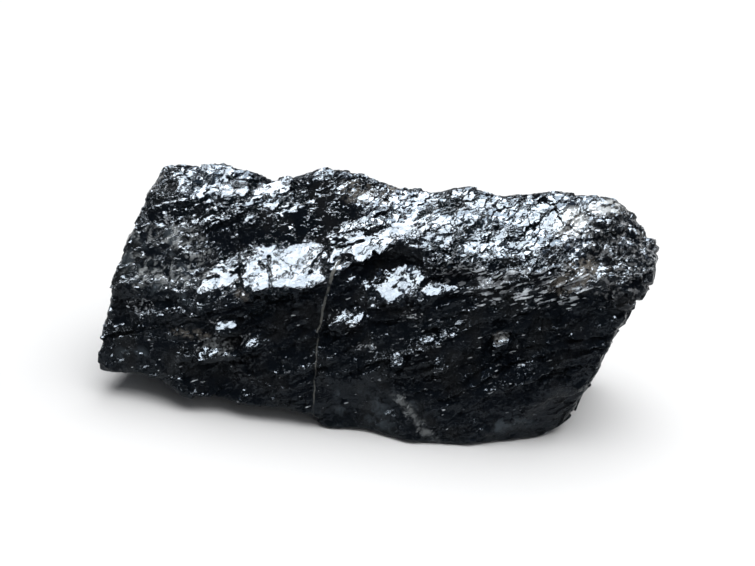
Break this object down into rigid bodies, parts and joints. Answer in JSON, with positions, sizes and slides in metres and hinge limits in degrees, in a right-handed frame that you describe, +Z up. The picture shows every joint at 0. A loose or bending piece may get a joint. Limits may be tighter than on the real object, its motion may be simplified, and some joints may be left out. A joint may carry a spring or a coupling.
{
  "type": "raw morion quartz",
  "caption": "Raw block of black morion quartz, a long broken piece with a leaning front face, a glossy crackled roof, broken ledges and a flat resting side.",
  "frame": {"origin": "middle of the block's bounding box in plan, on the surface that the block rests on", "axes": "+Z up, +X along the block's length towards its overhanging knobbly end, -Y towards its leaning front face"},
  "size_m": [0.1482, 0.052, 0.0595],
  "materials": {
    "morion": "raw broken quartz, near-black and opaque, glassy shell-shaped and splintery breaks with a few dull, brownish and whitish patches"
  },
  "bodies": {
    "root": {"morion_quartz": "morion"}
  },
  "joints": []
}
